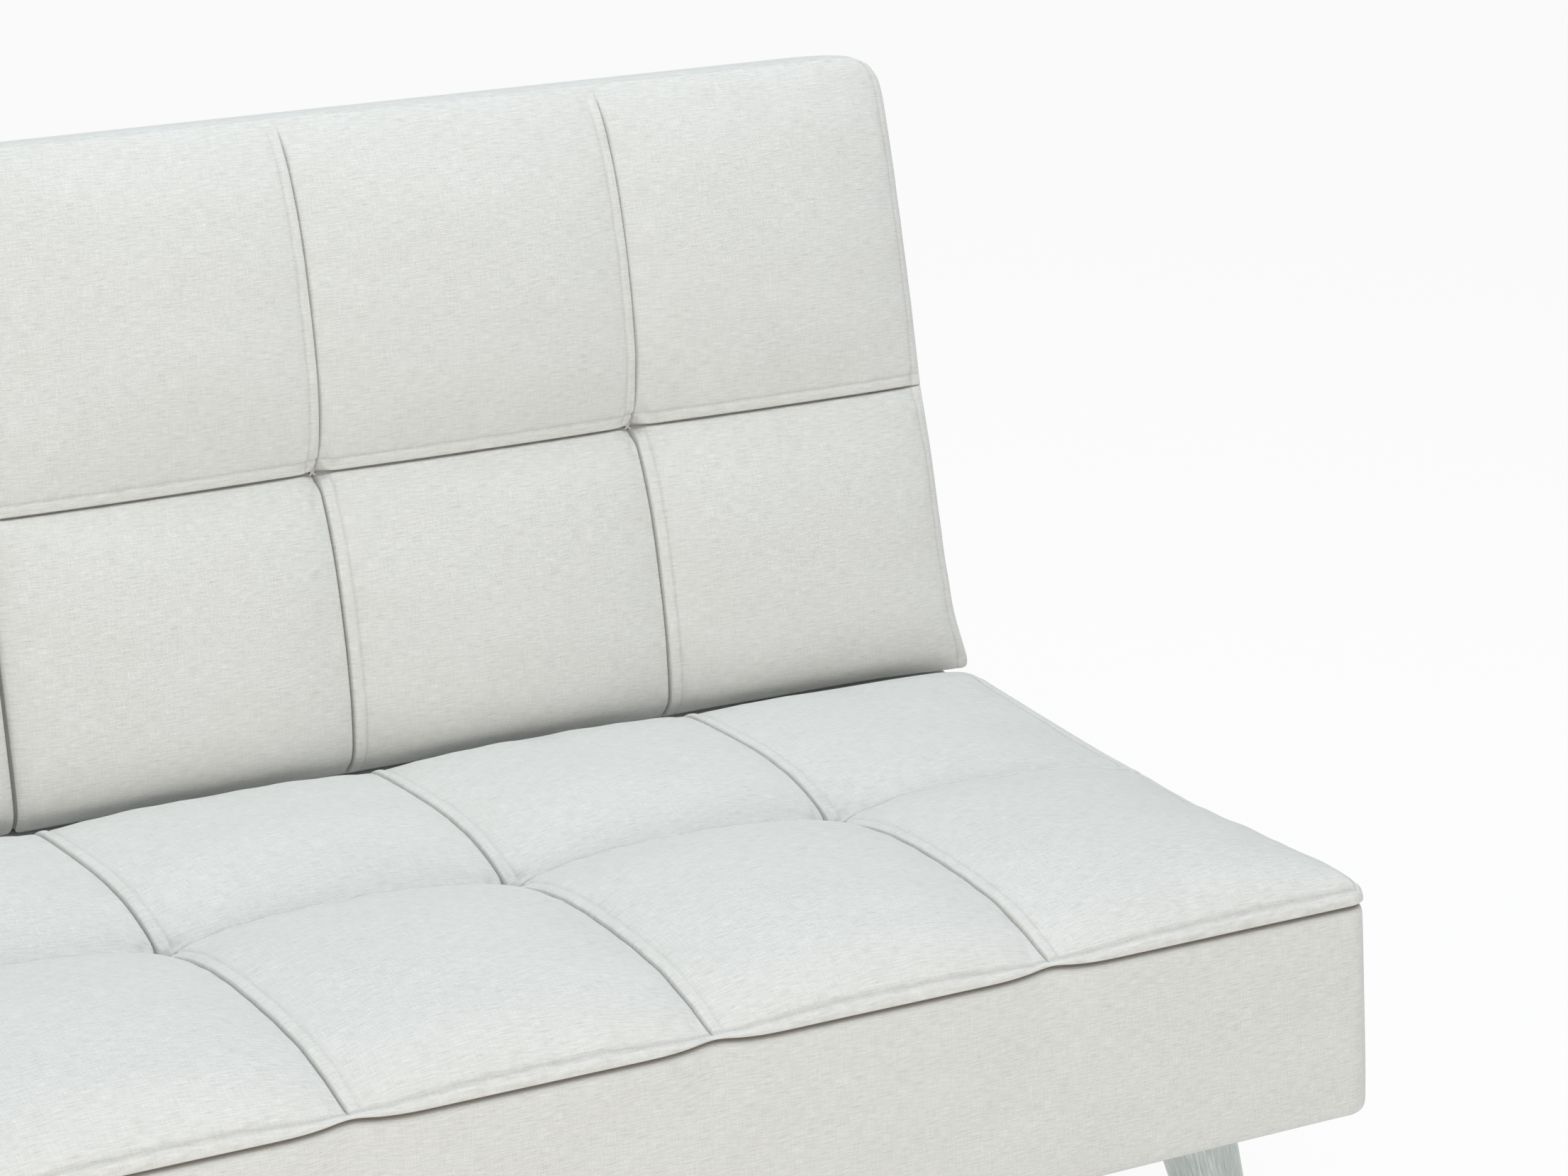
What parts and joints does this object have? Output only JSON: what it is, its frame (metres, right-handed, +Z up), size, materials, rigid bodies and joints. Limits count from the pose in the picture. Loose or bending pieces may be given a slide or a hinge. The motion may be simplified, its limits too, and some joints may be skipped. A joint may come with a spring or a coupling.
{
  "type": "click clack sofa bed",
  "caption": "Armless sofa bed: quilted fabric seat on splayed metal legs, with a split back whose halves fold flat on slotted hinges.",
  "frame": {"origin": "on the floor, under the middle of the sofa's box with the back up", "axes": "+X along the seat to the right of someone who stands in front of it, -Y towards the front, +Z up"},
  "size_m": [1.68, 0.824, 0.8608],
  "materials": {
    "pale_fabric": "matte",
    "pine": "matte",
    "webbing": "matte",
    "black_liner": "matte",
    "brushed_leg_steel": "satin",
    "zinc_plate": "satin",
    "black_plastic": "matte"
  },
  "bodies": {
    "base": {"seat_cushion": "pale_fabric", "seat_front_rail": "pine", "seat_rear_rail": "pine", "seat_left_end_rail": "pine", "seat_right_end_rail": "pine", "seat_centre_rail": "pine", "seat_left_leg_batten": "pine", "seat_right_leg_batten": "pine", "seat_left_strap_1": "webbing", "seat_left_strap_2": "webbing", "seat_left_strap_3": "webbing", "seat_right_strap_1": "webbing", "seat_right_strap_2": "webbing", "seat_right_strap_3": "webbing", "seat_dust_cover": "black_liner", "left_inner_hinge_plate": "zinc_plate", "left_inner_pivot_rivet": "zinc_plate", "left_outer_hinge_plate": "zinc_plate", "left_outer_pivot_rivet": "zinc_plate", "right_inner_hinge_plate": "zinc_plate", "right_inner_pivot_rivet": "zinc_plate", "right_outer_hinge_plate": "zinc_plate", "right_outer_pivot_rivet": "zinc_plate", "front_left_leg_plate": "zinc_plate", "front_left_leg": "brushed_leg_steel", "front_left_foot_glide": "black_plastic", "front_right_leg_plate": "zinc_plate", "front_right_leg": "brushed_leg_steel", "front_right_foot_glide": "black_plastic", "rear_left_leg_plate": "zinc_plate", "rear_left_leg": "brushed_leg_steel", "rear_left_foot_glide": "black_plastic", "rear_right_leg_plate": "zinc_plate", "rear_right_leg": "brushed_leg_steel", "rear_right_foot_glide": "black_plastic", "centre_leg": "black_plastic", "centre_foot_glide": "black_plastic"},
    "back_left": {"left_back_cushion": "pale_fabric", "left_back_bottom_rail": "pine", "left_back_top_rail": "pine", "left_back_inner_stile": "pine", "left_back_outer_stile": "pine", "left_back_lumbar_strap": "webbing", "left_back_rear_cover": "pale_fabric", "left_inner_hinge_arm": "zinc_plate", "left_inner_stop_pin": "zinc_plate", "left_outer_hinge_arm": "zinc_plate", "left_outer_stop_pin": "zinc_plate"},
    "back_right": {"right_back_cushion": "pale_fabric", "right_back_bottom_rail": "pine", "right_back_top_rail": "pine", "right_back_inner_stile": "pine", "right_back_outer_stile": "pine", "right_back_lumbar_strap": "webbing", "right_back_rear_cover": "pale_fabric", "right_inner_hinge_arm": "zinc_plate", "right_inner_stop_pin": "zinc_plate", "right_outer_hinge_arm": "zinc_plate", "right_outer_stop_pin": "zinc_plate"}
  },
  "joints": [
    {"name": "back_left_fold", "type": "hinge", "parent": "base", "child": "back_left", "pos_m": [-0.42, 0.19006, 0.316], "axis": [-1, 0, 0], "range_deg": [-9, 75]},
    {"name": "back_right_fold", "type": "hinge", "parent": "base", "child": "back_right", "pos_m": [0.42, 0.19006, 0.316], "axis": [-1, 0, 0], "range_deg": [-9, 75]}
  ]
}
